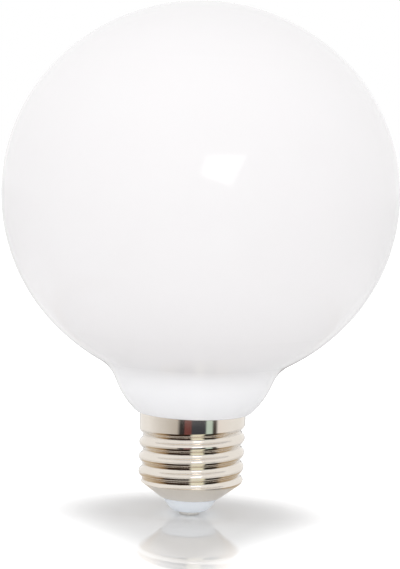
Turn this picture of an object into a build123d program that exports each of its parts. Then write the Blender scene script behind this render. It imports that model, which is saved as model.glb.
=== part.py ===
from build123d import *
import os
from math import asin, atan2, cos, degrees, radians, sin

# An opal glass globe bulb on a rolled screw cap, upright with its centre contact down.

# Driving dimensions, in millimetres and degrees. Z runs up the bulb from the contact's face.

# Glass: a globe blown a little flat, a throat that rolls into a bowl-shaped neck, and a stub
globe_diameter = 97.3
globe_half_height = 47.0
crown_sweep = 45.0
neck_height = 6.8
neck_roll = 20.2
neck_lean = 47.6
neck_overhang = 1.08
neck_edge = 0.9
throat_roll = 9.7
stub_length = 7.0
stub_edge = 2.0
cement_gap = 0.15

# Screw shell: sheet metal drawn to a cup, with a round thread rolled into its wall
cap_diameter = 26.1
thread_depth = 0.9
thread_pitch = 3.629
thread_drop = 4.3
thread_foot = 2.384
crest_sag = 0.015
crest_share = 11 / 12
runout_angle = 120.0
runout_overlap = 6.0
roll_clearance = 0.6
sheet = 0.3
shell_height = 21.2
shoulder_height = 4.1
shoulder_roll = 2.0
lip_diameter = 15.2
lip_roll = 0.6
mouth_diameter = 13.2

# Insulator: a plug moulded into the shell's mouth, with a flange inside and a cone below
insulator_drop = 3.4
insulator_face_diameter = 8.4
insulator_cone_diameter = 13.6
insulator_cone_bulge = 0.35
insulator_edge = 0.6
flange_thickness = 1.2
seat_gap = 0.05

# Centre contact: a rivet headed on the insulator's face
contact_diameter = 5.2
contact_height = 1.1
contact_edge = 0.5
shank_diameter = 2.4
shank_gap = 0.05

# Levels along the axis
insulator_face_z = contact_height
shell_bottom_z = insulator_face_z + insulator_drop
rim_z = shell_bottom_z + shell_height
globe_z = rim_z + neck_height + globe_half_height
flange_z = shell_bottom_z + sheet + seat_gap
insulator_top_z = flange_z + flange_thickness

# Radii that more than one piece uses
cap_radius = cap_diameter / 2
root_radius = cap_radius - thread_depth
lip_radius = lip_diameter / 2
mouth_radius = mouth_diameter / 2

os.makedirs("parts", exist_ok=True)


# The blown glass. The neck's rounded foot sits on the shell's rim, and the stub goes on down
# inside the thread, where cement holds it.
foot = (cap_radius + neck_overhang, rim_z + seat_gap)
rim_glass_radius = cap_radius - sheet - cement_gap
stub_radius = root_radius - sheet - cement_gap
stub_top_z = rim_z - (rim_glass_radius - stub_radius)

# The globe's outline is an oval of tangent arcs, wide at the sides and flatter at the crown. The
# neck's is a bowl that opens upwards, and the throat rounds the corner where the two meet.
globe_radius = globe_diameter / 2
crown_share = cos(radians(crown_sweep)) + sin(radians(crown_sweep)) - 1
flatness = (globe_radius - globe_half_height) / crown_share
crown_roll = globe_half_height + flatness * cos(radians(crown_sweep))
side_roll = globe_radius - flatness * sin(radians(crown_sweep))
side_sweep = 180 - 2 * crown_sweep

with BuildPart() as glass_globe:
    with BuildSketch(Plane.XZ) as glass_outline:
        with BuildLine():
            crown = JernArc((0, globe_z + globe_half_height), (1, 0), crown_roll, -crown_sweep)
            side = JernArc(crown @ 1, crown % 1, side_roll, -side_sweep)
            base = JernArc(side @ 1, side % 1, crown_roll, -crown_sweep)
            Line(base @ 1, crown @ 0)
        make_face()
        with BuildLine():
            opening = (sin(radians(neck_lean)), cos(radians(neck_lean)))
            bowl = JernArc(foot, opening, neck_roll, neck_lean)
            Polyline(
                bowl @ 1,
                (0, (bowl @ 1).Y),
                (0, rim_z - stub_length),
                (stub_radius, rim_z - stub_length),
                (stub_radius, stub_top_z),
                (rim_glass_radius, rim_z + seat_gap),
                foot,
            )
        make_face()
        fillet(glass_outline.vertices().sort_by_distance(bowl @ 1)[0], throat_roll)
        fillet(glass_outline.vertices().sort_by_distance(foot)[0], neck_edge)
    revolve(axis=Axis.Z)
    fillet(glass_globe.edges().group_by(Axis.Z)[0], stub_edge)

glass_globe.part.label = "glass_globe"
export_step(glass_globe.part, "parts/glass_globe.step")


# The thread's section: one groove from crest to crest, in equal arcs, with its floor at x = 0.
# The crest's arcs stop short of the crest line, where the turns of the groove would touch. The
# sheet carries the same thread inside, where the section is set in by its thickness.
def groove_section(inset):
    depth = thread_depth + crest_sag
    roll = (depth ** 2 + (thread_pitch / 2) ** 2) / (4 * depth)
    flank = degrees(asin(thread_pitch / 4 / roll))
    swept = flank * crest_share
    with BuildSketch(Plane.XY) as groove:
        with BuildLine():
            floor = CenterArc((roll, 0), roll + inset, 180 - flank, 2 * flank)
            low = JernArc(floor @ 1, floor % 1, roll - inset, -swept)
            high = JernArc(floor @ 0, -(floor % 0), roll - inset, swept)
            outside = depth + roll_clearance
            Polyline(low @ 1, (outside, (low @ 1).Y), (outside, (high @ 1).Y), high @ 1)
        make_face()
    return groove.sketch


def stand(section, path):
    """The section stood across the start of its path, facing out from the axis."""
    start = path @ 0
    return Plane(origin=start, x_dir=(start.X, start.Y, 0), z_dir=path % 0) * section


# The drawn cup with its thread rolled in. The groove follows a helix up to the plain skirt,
# then spirals outwards and fades. At its lower end it runs out into the shoulder.
shoulder_z = shell_bottom_z + shoulder_height
thread_top_z = rim_z - thread_drop
thread_bottom_z = shell_bottom_z + thread_foot
thread_height = thread_top_z - thread_bottom_z
thread_angle = 360 * thread_height / thread_pitch
runout_height = thread_pitch * runout_angle / 360
runout_cone = degrees(atan2(thread_depth + crest_sag, runout_height))
runout_start = Plane.XY.offset(thread_top_z - thread_pitch * runout_overlap / 360)


def threaded_cup(inset):
    groove = groove_section(inset)
    with BuildPart() as cup:
        with BuildSketch(Plane.XZ) as outline:
            with BuildLine():
                Polyline(
                    (0, rim_z + inset),
                    (cap_radius, rim_z + inset),
                    (cap_radius, shoulder_z),
                    (lip_radius, shell_bottom_z),
                    (0, shell_bottom_z),
                    close=True,
                )
            make_face()
            fillet(outline.vertices().group_by(Axis.X)[1], lip_roll)
            shoulder = outline.vertices().group_by(Axis.X)[-1].sort_by(Axis.Y)[0]
            fillet(shoulder, shoulder_roll)
            mirror(about=Plane.YZ)
            if inset > 0:
                offset(amount=-inset)
            split(bisect_by=Plane.YZ)
        revolve(axis=Axis.Z)
        with BuildLine(Plane.XY.offset(thread_bottom_z)) as turns:
            Helix(thread_pitch, thread_height, root_radius)
        sweep(stand(groove, turns.line), turns.line, is_frenet=True, mode=Mode.SUBTRACT)
        with BuildLine(runout_start.rotated((0, 0, thread_angle - runout_overlap))) as runout:
            slant_pitch = thread_pitch / cos(radians(runout_cone))
            Helix(slant_pitch, runout_height, root_radius, cone_angle=runout_cone)
        sweep(stand(groove, runout.line), runout.line, is_frenet=True, mode=Mode.SUBTRACT)
    return cup.part


with BuildPart() as screw_shell:
    add(threaded_cup(0))
    add(threaded_cup(sheet), mode=Mode.SUBTRACT)
    with Locations((0, 0, shell_bottom_z)):
        Cylinder(mouth_radius, 4 * sheet, mode=Mode.SUBTRACT)

screw_shell.part.label = "screw_shell"
export_step(screw_shell.part, "parts/screw_shell.step")


# The insulator, moulded through the shell's mouth, with a hole for the rivet's shank.
shank_radius = shank_diameter / 2
flange_radius = lip_radius - sheet - seat_gap
collar_radius = mouth_radius - seat_gap

with BuildPart() as insulator:
    with BuildSketch(Plane.XZ):
        with BuildLine():
            cone_top = (insulator_cone_diameter / 2, shell_bottom_z - seat_gap)
            face_edge = (insulator_face_diameter / 2, insulator_face_z)
            SagittaArc(cone_top, face_edge, insulator_cone_bulge)
            Polyline(
                face_edge,
                (shank_radius + shank_gap, insulator_face_z),
                (shank_radius + shank_gap, insulator_top_z),
                (flange_radius, insulator_top_z),
                (flange_radius, flange_z),
                (collar_radius, flange_z),
                (collar_radius, shell_bottom_z - seat_gap),
                cone_top,
            )
        make_face()
    revolve(axis=Axis.Z)
    face_rings = insulator.edges().filter_by(GeomType.CIRCLE).group_by(Axis.Z)[0]
    fillet(face_rings.sort_by(SortBy.RADIUS)[-1], insulator_edge)

insulator.part.label = "insulator"
export_step(insulator.part, "parts/insulator.step")


# The contact's rivet: a low round head with a flat face, and a shank through the insulator.
with BuildPart() as centre_contact:
    with BuildSketch(Plane.XY):
        Circle(contact_diameter / 2)
    extrude(amount=contact_height)
    fillet(centre_contact.edges().group_by(Axis.Z)[0], contact_edge)
    with BuildSketch(Plane.XY.offset(contact_height)):
        Circle(shank_radius)
    extrude(amount=insulator_top_z - insulator_face_z)

centre_contact.part.label = "centre_contact"
export_step(centre_contact.part, "parts/centre_contact.step")
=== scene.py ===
import math

import bmesh
import bpy
from mathutils import Matrix, Vector

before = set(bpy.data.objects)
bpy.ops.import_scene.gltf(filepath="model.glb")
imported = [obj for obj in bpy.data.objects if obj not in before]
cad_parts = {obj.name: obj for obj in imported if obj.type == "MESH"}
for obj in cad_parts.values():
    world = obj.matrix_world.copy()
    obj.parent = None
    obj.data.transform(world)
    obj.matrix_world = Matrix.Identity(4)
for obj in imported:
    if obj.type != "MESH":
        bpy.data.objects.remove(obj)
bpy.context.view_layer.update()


# The glass: globe, throat, round neck and stub, mould-blown in one piece from opal soda-lime
# glass, which is white right through. The stub is cemented into the screw shell.
MM = 0.001
smooth = {"interpolation_type": "SMOOTHSTEP"}


def linear(hex_colour):
    """The linear value of an sRGB colour written as six hex digits."""
    parts = [int(hex_colour[i:i + 2], 16) / 255 for i in (0, 2, 4)]
    return [p / 12.92 if p <= 0.04045 else ((p + 0.055) / 1.055) ** 2.4 for p in parts] + [1.0]


def finish(name):
    """A new material for a finish, and its node tree, emptied."""
    material = bpy.data.materials.new(name)
    material.use_nodes = True
    material.node_tree.nodes.clear()
    return material, material.node_tree


def add(tree, kind, settings=None, links=None):
    """A node of that kind, with values set on itself or its sockets, and sockets linked to outputs.

    A number is a socket's place. On a Mix node 0 is the factor, 2 and 3 are its two numbers, and
    6 and 7 its two colours.
    """
    node = tree.nodes.new(kind)
    for name, value in (settings or {}).items():
        if isinstance(name, str) and hasattr(node, name):
            setattr(node, name, value)
        else:
            node.inputs[name].default_value = value
    for name, output in (links or {}).items():
        tree.links.new(output, node.inputs[name])
    return node


# Opal glass is never quite even. It shows faint clouds about 20 mm across. The neck under the globe is
# painted a lighter, cooler white: painted light, which lifts the shade that falls there under the globe.
opal_white, opal_cloud = "F9F7F8", "F7F5F6"
painted_neck_light = "FDFDFF"
cloud_size = 20 * MM
neck_low, neck_high = 30 * MM, 46 * MM
opal, tree = finish("fire_polished_opal_glass")
place = add(tree, "ShaderNodeTexCoord")
clouds = add(tree, "ShaderNodeTexNoise", {"Scale": 1 / cloud_size, "Detail": 2.0},
             {"Vector": place.outputs["Object"]})
body = add(tree, "ShaderNodeMix", {"data_type": "RGBA", 6: linear(opal_cloud), 7: linear(opal_white)},
           {0: clouds.outputs["Fac"]})
height = add(tree, "ShaderNodeSeparateXYZ", {}, {0: place.outputs["Object"]})
# Painted light: the neck is lightened from 46 mm down to 30 mm, against the shade under the globe.
neck_light_share = add(tree, "ShaderNodeMapRange", {**smooth, "From Min": neck_high, "From Max": neck_low},
                 {"Value": height.outputs["Z"]})
glass_colour = add(tree, "ShaderNodeMix", {"data_type": "RGBA", 7: linear(painted_neck_light)},
                   {0: neck_light_share.outputs["Result"], 6: body.outputs[2]})

# Blowing leaves a slow ripple of some hundredths of a millimetre, which only bends what the glass
# reflects. The fire polish gives it a sharp gloss.
ripple_size, ripple_depth = 35 * MM, 0.3 * MM
ripple = add(tree, "ShaderNodeTexNoise", {"Scale": 1 / ripple_size, "Detail": 1.0},
             {"Vector": place.outputs["Object"]})
relief = add(tree, "ShaderNodeBump", {"Strength": 0.1, "Distance": ripple_depth},
             {"Height": ripple.outputs["Fac"]})
glass = add(tree, "ShaderNodeBsdfPrincipled", {"Roughness": 0.04, "IOR": 1.5},
            {"Base Color": glass_colour.outputs[2], "Normal": relief.outputs["Normal"]})
add(tree, "ShaderNodeOutputMaterial", {}, {"Surface": glass.outputs[0]})
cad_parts["glass_globe"].material_slots[0].material = opal


# The E27 screw shell: brass or steel sheet drawn to a cup, with its round thread rolled in, then
# plated with bright nickel. It is cemented to the glass and is the lamp's first contact.
nickel_colour, nickel_shade = "EAE3DA", "E0D8CD"
patch_size = 6 * MM
clear_plate, hazy_plate = 0.05, 0.12

# Bright nickel is a slightly warm mirror, a little hazier in patches where the bath left it so.
nickel, tree = finish("bright_nickel_plate")
place = add(tree, "ShaderNodeTexCoord")
patches = add(tree, "ShaderNodeTexNoise", {"Scale": 1 / patch_size, "Detail": 3.0},
              {"Vector": place.outputs["Object"]})
plate_colour = add(tree, "ShaderNodeMix",
                   {"data_type": "RGBA", 6: linear(nickel_shade), 7: linear(nickel_colour)},
                   {0: patches.outputs["Fac"]})
haze = add(tree, "ShaderNodeMapRange", {"To Min": clear_plate, "To Max": hazy_plate},
           {"Value": patches.outputs["Fac"]})
plate = add(tree, "ShaderNodeBsdfPrincipled", {"Metallic": 1.0},
            {"Base Color": plate_colour.outputs[2], "Roughness": haze.outputs["Result"]})
add(tree, "ShaderNodeOutputMaterial", {}, {"Surface": plate.outputs[0]})
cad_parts["screw_shell"].material_slots[0].material = nickel


# The insulator: a plug of white plastic moulded through the shell's mouth. A flange inside keeps
# it in, and its cone keeps the centre contact apart from the shell.
insulator_white, insulator_shade = "F4F9FF", "EEF4FC"
flow_size = 4 * MM

# The mould gives the plastic a satin gloss, and its flow leaves slight changes of a cool white.
plastic, tree = finish("moulded_white_plastic")
place = add(tree, "ShaderNodeTexCoord")
flow = add(tree, "ShaderNodeTexNoise", {"Scale": 1 / flow_size, "Detail": 2.0},
           {"Vector": place.outputs["Object"]})
plastic_colour = add(tree, "ShaderNodeMix",
                     {"data_type": "RGBA", 6: linear(insulator_shade), 7: linear(insulator_white)},
                     {0: flow.outputs["Fac"]})
moulded = add(tree, "ShaderNodeBsdfPrincipled", {"Roughness": 0.35, "IOR": 1.49},
              {"Base Color": plastic_colour.outputs[2]})
add(tree, "ShaderNodeOutputMaterial", {}, {"Surface": moulded.outputs[0]})
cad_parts["insulator"].material_slots[0].material = plastic


# The centre contact: a small nickel-plated rivet. Its shank goes through the insulator, and its
# low head is set flat on the insulator's face.
rivet_colour, rivet_shade = "F0EEEA", "DCD8D2"
scuff_size = 0.8 * MM
bright_rivet, dull_rivet = 0.3, 0.45

# The rivet was tumbled before its plating and rubs in its holder, so it is duller than the shell,
# with scuffs under a millimetre across.
rivet, tree = finish("nickel_plated_rivet")
place = add(tree, "ShaderNodeTexCoord")
scuffs = add(tree, "ShaderNodeTexNoise", {"Scale": 1 / scuff_size, "Detail": 4.0},
             {"Vector": place.outputs["Object"]})
rivet_mix = add(tree, "ShaderNodeMix",
                {"data_type": "RGBA", 6: linear(rivet_shade), 7: linear(rivet_colour)},
                {0: scuffs.outputs["Fac"]})
rivet_haze = add(tree, "ShaderNodeMapRange", {"To Min": bright_rivet, "To Max": dull_rivet},
                 {"Value": scuffs.outputs["Fac"]})
headed = add(tree, "ShaderNodeBsdfPrincipled", {"Metallic": 1.0},
             {"Base Color": rivet_mix.outputs[2], "Roughness": rivet_haze.outputs["Result"]})
add(tree, "ShaderNodeOutputMaterial", {}, {"Surface": headed.outputs[0]})
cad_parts["centre_contact"].material_slots[0].material = rivet


# The table: one glossy white sheet that the contact touches. Its material also paints reflections: round
# the bulb lies a glowing field with dark, tan, red and green slices. Only glossy rays see it, nearly all
# of them the cap's. It paints the cap's dark band, its tan and brown shading and its bright streak.
table_size = 6.0


def set_out(name, form):
    """A new object of that name, made from a bmesh, in the scene."""
    mesh = bpy.data.meshes.new(name)
    form.to_mesh(mesh)
    form.free()
    piece = bpy.data.objects.new(name, mesh)
    bpy.context.scene.collection.objects.link(piece)
    return piece


form = bmesh.new()
bmesh.ops.create_grid(form, x_segments=1, y_segments=1, size=table_size / 2)
table = set_out("table", form)
gloss_white, tree = finish("glossy_white_table")
seen_by = add(tree, "ShaderNodeLightPath")
place = add(tree, "ShaderNodeTexCoord")
spot = add(tree, "ShaderNodeSeparateXYZ", {}, {0: place.outputs["Object"]})
reach = add(tree, "ShaderNodeVectorMath", {"operation": "LENGTH"}, {0: place.outputs["Object"]})

# To the camera the sheet is lifted to pure white away from the bulb, but not in the bulb's shadow.
# The lift begins outside an oval, which is drawn out to the front and tapers to the sides.
camera_lift, glossy_lift = 0.5, 0.05
lift_start, lift_end = 17 * MM, 46 * MM
front_share, back_share, side_growth = 0.42, 1.3, 60.0
sideways = add(tree, "ShaderNodeMath", {"operation": "ABSOLUTE"}, {0: spot.outputs["X"]})
growth = add(tree, "ShaderNodeMath",
             {"operation": "MULTIPLY_ADD", 1: side_growth * front_share, 2: front_share},
             {0: sideways.outputs[0]})
front = add(tree, "ShaderNodeMath", {"operation": "MULTIPLY"},
            {0: spot.outputs["Y"], 1: growth.outputs[0]})
back = add(tree, "ShaderNodeMath", {"operation": "MULTIPLY", 1: back_share}, {0: spot.outputs["Y"]})
deep = add(tree, "ShaderNodeMath", {"operation": "MAXIMUM"}, {0: front.outputs[0], 1: back.outputs[0]})
oval = add(tree, "ShaderNodeCombineXYZ", {}, {"X": spot.outputs["X"], "Y": deep.outputs[0]})
away = add(tree, "ShaderNodeVectorMath", {"operation": "LENGTH"}, {0: oval.outputs[0]})
fade = add(tree, "ShaderNodeMapRange",
           {**smooth, "From Min": lift_start, "From Max": lift_end, "To Max": camera_lift},
           {"Value": away.outputs["Value"]})
seen = add(tree, "ShaderNodeMath", {"operation": "MULTIPLY"},
           {0: seen_by.outputs["Is Camera Ray"], 1: fade.outputs[0]})
lifted = add(tree, "ShaderNodeMath", {"operation": "MULTIPLY_ADD", 1: glossy_lift},
             {0: seen_by.outputs["Is Glossy Ray"], 2: seen.outputs[0]})
glow = add(tree, "ShaderNodeEmission", {"Color": linear("FFFFFF")}, {"Strength": lifted.outputs[0]})

# Right under the bulb the sheet mirrors faintly. In front it mirrors as glossy acrylic does.
sheet_white = "F9F9F9"
faint_mirror, full_mirror = 1.1, 1.6
mirror_start, mirror_full = -6 * MM, -28 * MM
polish = add(tree, "ShaderNodeMapRange",
             {"From Min": mirror_start, "From Max": mirror_full,
              "To Min": faint_mirror, "To Max": full_mirror},
             {"Value": spot.outputs["Y"]})
sheet_gloss = add(tree, "ShaderNodeBsdfPrincipled", {"Base Color": linear(sheet_white), "Roughness": 0.02},
                  {"IOR": polish.outputs[0]})
white_sheet = add(tree, "ShaderNodeAddShader", {}, {0: sheet_gloss.outputs[0], 1: glow.outputs[0]})

# The painted reflection's fields run out from the bulb like slices. Each stop is a bearing in degrees from
# straight ahead, a colour, and how fully the painted reflection covers the sheet. The thread's turns show
# the near fields, and the plain skirt above them shows the far ones.
near_stops = (
    (-180, "6A6864", 1.0), (-163, "7A7874", 1.0), (-155, "F2ECE6", 0.0), (-128, "DCCCB8", 0.8),
    (-88, "CCBCA4", 1.0), (-62, "A48A6A", 1.0), (-46, "3E2E22", 1.0), (-3, "2E221A", 1.0),
    (3, "F4F2E0", 1.0), (24, "F4F2DA", 1.0), (30, "2A2620", 1.0), (54, "3E342A", 1.0),
    (66, "B8A488", 1.0), (96, "C4B49C", 1.0), (132, "D4C6B4", 0.8), (155, "F2ECE6", 0.0),
    (163, "7A7874", 1.0), (180, "6A6864", 1.0),
)
far_stops = (
    (-180, "6A6864", 1.0), (-165, "7A7874", 1.0), (-158, "FFFFFF", 0.0), (-148, "FFFFFF", 1.0),
    (-108, "FFFFFF", 1.0), (-32, "C8C2BA", 1.0), (-25, "2A2624", 1.0), (-17, "302828", 1.0),
    (-15, "78423E", 1.0), (-3, "74423E", 1.0), (0, "3C4048", 1.0), (27, "383A42", 1.0),
    (31, "CCE0D6", 1.0), (41, "C6DAD0", 1.0), (45, "443E3A", 1.0), (50, "443E3A", 1.0),
    (56, "FAF6F4", 0.9), (90, "FFFFFF", 0.9), (148, "FFFFFF", 0.9), (155, "F2EEEA", 0.0),
    (163, "7A7874", 1.0), (180, "6A6864", 1.0),
)
widest = 180
ahead = add(tree, "ShaderNodeMath", {"operation": "MULTIPLY", 1: -1.0}, {0: spot.outputs["Y"]})
bearing = add(tree, "ShaderNodeMath", {"operation": "ARCTAN2"},
              {0: spot.outputs["X"], 1: ahead.outputs[0]})
turned = add(tree, "ShaderNodeMapRange",
             {"From Min": math.radians(-widest), "From Max": math.radians(widest)},
             {"Value": bearing.outputs[0]})
fields = []
for stops in (near_stops, far_stops):
    field = add(tree, "ShaderNodeValToRGB", {}, {0: turned.outputs["Result"]})
    ramp = field.color_ramp
    while len(ramp.elements) > 1:
        ramp.elements.remove(ramp.elements[-1])
    for number, (degrees, colour, cover) in enumerate(stops):
        position = (degrees + widest) / (2 * widest)
        stop = ramp.elements[0] if number == 0 else ramp.elements.new(position)
        stop.position = position
        stop.color = linear(colour)[:3] + [cover]
    fields.append(field)
near_field, far_field = fields

# The near fields give way to the far ones between 80 and 115 mm from the bulb's axis.
near_gives_way, far_takes_over = 80 * MM, 115 * MM
further = add(tree, "ShaderNodeMapRange",
              {**smooth, "From Min": near_gives_way, "From Max": far_takes_over},
              {"Value": reach.outputs["Value"]})
painted_reflection_colour = add(tree, "ShaderNodeMix", {"data_type": "RGBA"},
                  {0: further.outputs[0], 6: near_field.outputs["Color"], 7: far_field.outputs["Color"]})

# A ray from the cap starts low and close to the axis. The square of its rise is the square of its length
# less that of its run across the sheet, and for rays from the globe that comes out too large or too small.
# The painted reflection hides from nearly all of those, so in front the glass stays white.
cap_radius = 13 * MM
near_rise_held, near_rise_lost = 600 * MM * MM, 850 * MM * MM
far_rise_lost, far_rise_held = 0.0, 100 * MM * MM
near_end_held, near_end_lost = 62 * MM, 72 * MM
run = add(tree, "ShaderNodeMath", {"operation": "SUBTRACT", 1: cap_radius}, {0: reach.outputs["Value"]})
run_square = add(tree, "ShaderNodeMath", {"operation": "MULTIPLY"}, {0: run.outputs[0], 1: run.outputs[0]})
ray_square = add(tree, "ShaderNodeMath", {"operation": "MULTIPLY"},
                 {0: seen_by.outputs["Ray Length"], 1: seen_by.outputs["Ray Length"]})
rise_square = add(tree, "ShaderNodeMath", {"operation": "SUBTRACT"},
                  {0: ray_square.outputs[0], 1: run_square.outputs[0]})
low_start = add(tree, "ShaderNodeMapRange",
                {**smooth, "From Min": near_rise_lost, "From Max": near_rise_held},
                {"Value": rise_square.outputs[0]})
near_end = add(tree, "ShaderNodeMapRange",
               {**smooth, "From Min": near_end_lost, "From Max": near_end_held},
               {"Value": reach.outputs["Value"]})
near_seen = add(tree, "ShaderNodeMath", {"operation": "MULTIPLY"},
                {0: near_field.outputs["Alpha"], 1: low_start.outputs[0]})
near_cover = add(tree, "ShaderNodeMath", {"operation": "MULTIPLY"},
                 {0: near_seen.outputs[0], 1: near_end.outputs[0]})
no_overhang = add(tree, "ShaderNodeMapRange",
                  {**smooth, "From Min": far_rise_lost, "From Max": far_rise_held},
                  {"Value": rise_square.outputs[0]})
far_cover = add(tree, "ShaderNodeMath", {"operation": "MULTIPLY"},
                {0: far_field.outputs["Alpha"], 1: no_overhang.outputs[0]})
painted_reflection_cover = add(tree, "ShaderNodeMix", {"data_type": "FLOAT"},
                 {0: further.outputs[0], 2: near_cover.outputs[0], 3: far_cover.outputs[0]})

# The painted reflection begins clear of the insulator, fades out before the horizon, and only glossy rays
# see it.
painted_reflection_starts, painted_reflection_full = 12 * MM, 19 * MM
painted_reflection_fades, painted_reflection_ends = 155 * MM, 270 * MM
inner_edge = add(tree, "ShaderNodeMapRange", {**smooth, "From Min": painted_reflection_starts, "From Max": painted_reflection_full},
                 {"Value": reach.outputs["Value"]})
outer_edge = add(tree, "ShaderNodeMapRange", {**smooth, "From Min": painted_reflection_ends, "From Max": painted_reflection_fades},
                 {"Value": reach.outputs["Value"]})
band = add(tree, "ShaderNodeMath", {"operation": "MULTIPLY"},
           {0: inner_edge.outputs[0], 1: outer_edge.outputs[0]})
covered = add(tree, "ShaderNodeMath", {"operation": "MULTIPLY"},
              {0: band.outputs[0], 1: painted_reflection_cover.outputs[0]})
shown = add(tree, "ShaderNodeMath", {"operation": "MULTIPLY"},
            {0: covered.outputs[0], 1: seen_by.outputs["Is Glossy Ray"]})
# The painted reflections glow with their own colour, though no lamp is there.
painted_reflection_glow = add(tree, "ShaderNodeEmission", {}, {"Color": painted_reflection_colour.outputs[2]})
both = add(tree, "ShaderNodeMixShader", {},
           {0: shown.outputs[0], 1: white_sheet.outputs[0], 2: painted_reflection_glow.outputs[0]})

# From below, a camera looks through the sheet and sees the underside of the bulb.
side_seen = add(tree, "ShaderNodeNewGeometry")
below = add(tree, "ShaderNodeMath", {"operation": "MULTIPLY"},
            {0: side_seen.outputs["Backfacing"], 1: seen_by.outputs["Is Camera Ray"]})
clear = add(tree, "ShaderNodeBsdfTransparent")
one_way = add(tree, "ShaderNodeMixShader", {},
              {0: below.outputs[0], 1: both.outputs[0], 2: clear.outputs[0]})
add(tree, "ShaderNodeOutputMaterial", {}, {"Surface": one_way.outputs[0]})
table.data.materials.append(gloss_white)


# The studio: a white room all round. Camera and glossy rays see it plain white. As a light it is
# strong at the horizon, weak overhead, and a little stronger in front and to the left.
horizon_level, zenith_level = 1.55, 0.12
towards_light = (-0.08, -0.28, 0.0)
world = bpy.data.worlds.new("white_room")
bpy.context.scene.world = world
world.use_nodes = True
tree = world.node_tree
tree.nodes.clear()
seen_by = add(tree, "ShaderNodeLightPath")
direct = add(tree, "ShaderNodeMath", {"operation": "MAXIMUM"},
             {0: seen_by.outputs["Is Camera Ray"], 1: seen_by.outputs["Is Glossy Ray"]})
towards = add(tree, "ShaderNodeTexCoord")
slope = add(tree, "ShaderNodeSeparateXYZ", {}, {0: towards.outputs["Generated"]})
sky = add(tree, "ShaderNodeMapRange", {"To Min": horizon_level, "To Max": zenith_level},
          {"Value": slope.outputs["Z"]})
side = add(tree, "ShaderNodeVectorMath", {"operation": "DOT_PRODUCT", 1: towards_light},
           {0: towards.outputs["Generated"]})
spread = add(tree, "ShaderNodeMath", {"operation": "MULTIPLY_ADD"},
             {0: sky.outputs[0], 1: side.outputs["Value"], 2: sky.outputs[0]})
level = add(tree, "ShaderNodeMapRange", {"To Max": 1.0},
            {"Value": direct.outputs[0], "To Min": spread.outputs[0]})
room = add(tree, "ShaderNodeBackground", {"Color": linear("FFFFFF")}, {"Strength": level.outputs[0]})
add(tree, "ShaderNodeOutputWorld", {}, {"Surface": room.outputs[0]})


# A round softbox hangs straight above the bulb. It gives the table a quarter of the light that
# shows white as white, and lays the soft shadow round the cap. No reflection shows it.
overhead_size, overhead_height = 0.9, 1.3
overhead_share = 0.24
overhead = bpy.data.lights.new("overhead_softbox", "AREA")
overhead.shape = "DISK"
overhead.size = overhead_size
overhead.energy = overhead_share * math.pi * math.pi * (overhead_height ** 2 + (overhead.size / 2) ** 2)
overhead_lamp = bpy.data.objects.new("overhead_softbox", overhead)
overhead_lamp.location = (0, 0, overhead_height)
bpy.context.scene.collection.objects.link(overhead_lamp)
overhead_lamp.visible_glossy = False


# A tall window in front, to the right. The glass shows it as a small slanted highlight, so its
# pane is the slanted shape that the globe's curve brings back to that highlight.
window_brightness = 2.8
window_ahead = -947
window_corners = ((46, 526), (468, 579), (276, 197), (-12, 311))
form = bmesh.new()
form.faces.new([form.verts.new((x * MM, window_ahead * MM, z * MM)) for x, z in window_corners])
window = set_out("window", form)
window_light, tree = finish("window_light")
pane = add(tree, "ShaderNodeEmission", {"Color": linear("FFFFFF"), "Strength": window_brightness})
add(tree, "ShaderNodeOutputMaterial", {}, {"Surface": pane.outputs[0]})
window.data.materials.append(window_light)
window.visible_camera = False


# The camera stands 450 mm in front of the bulb, tipped a little down, and is rolled, so that the
# bulb leans to the right. The focal length in pixels and the height of the picture set its lens.
photo_height = 569
sensor = 36.0
focal_pixels = 1828.3
distance = 450 * MM
tip_down = math.radians(5.2)
roll = math.radians(2.05)
aim_right, aim_height = 0.62 * MM, 57.3 * MM
forward = Vector((0, math.cos(tip_down), -math.sin(tip_down)))
upward = Vector((0, math.sin(tip_down), math.cos(tip_down)))
right = Vector((1, 0, 0))
image_right = right * math.cos(roll) + upward * math.sin(roll)
image_up = upward * math.cos(roll) - right * math.sin(roll)
lens = bpy.data.cameras.new("camera")
lens.lens = focal_pixels / photo_height * sensor
lens.sensor_width = sensor
camera = bpy.data.objects.new("camera", lens)
bpy.context.scene.collection.objects.link(camera)
aim = Vector((aim_right, 0, aim_height))
turn = Matrix((image_right, image_up, -forward)).transposed()
camera.matrix_world = Matrix.Translation(aim - forward * distance) @ turn.to_4x4()
bpy.context.scene.camera = camera
bpy.context.scene.view_settings.view_transform = "Standard"
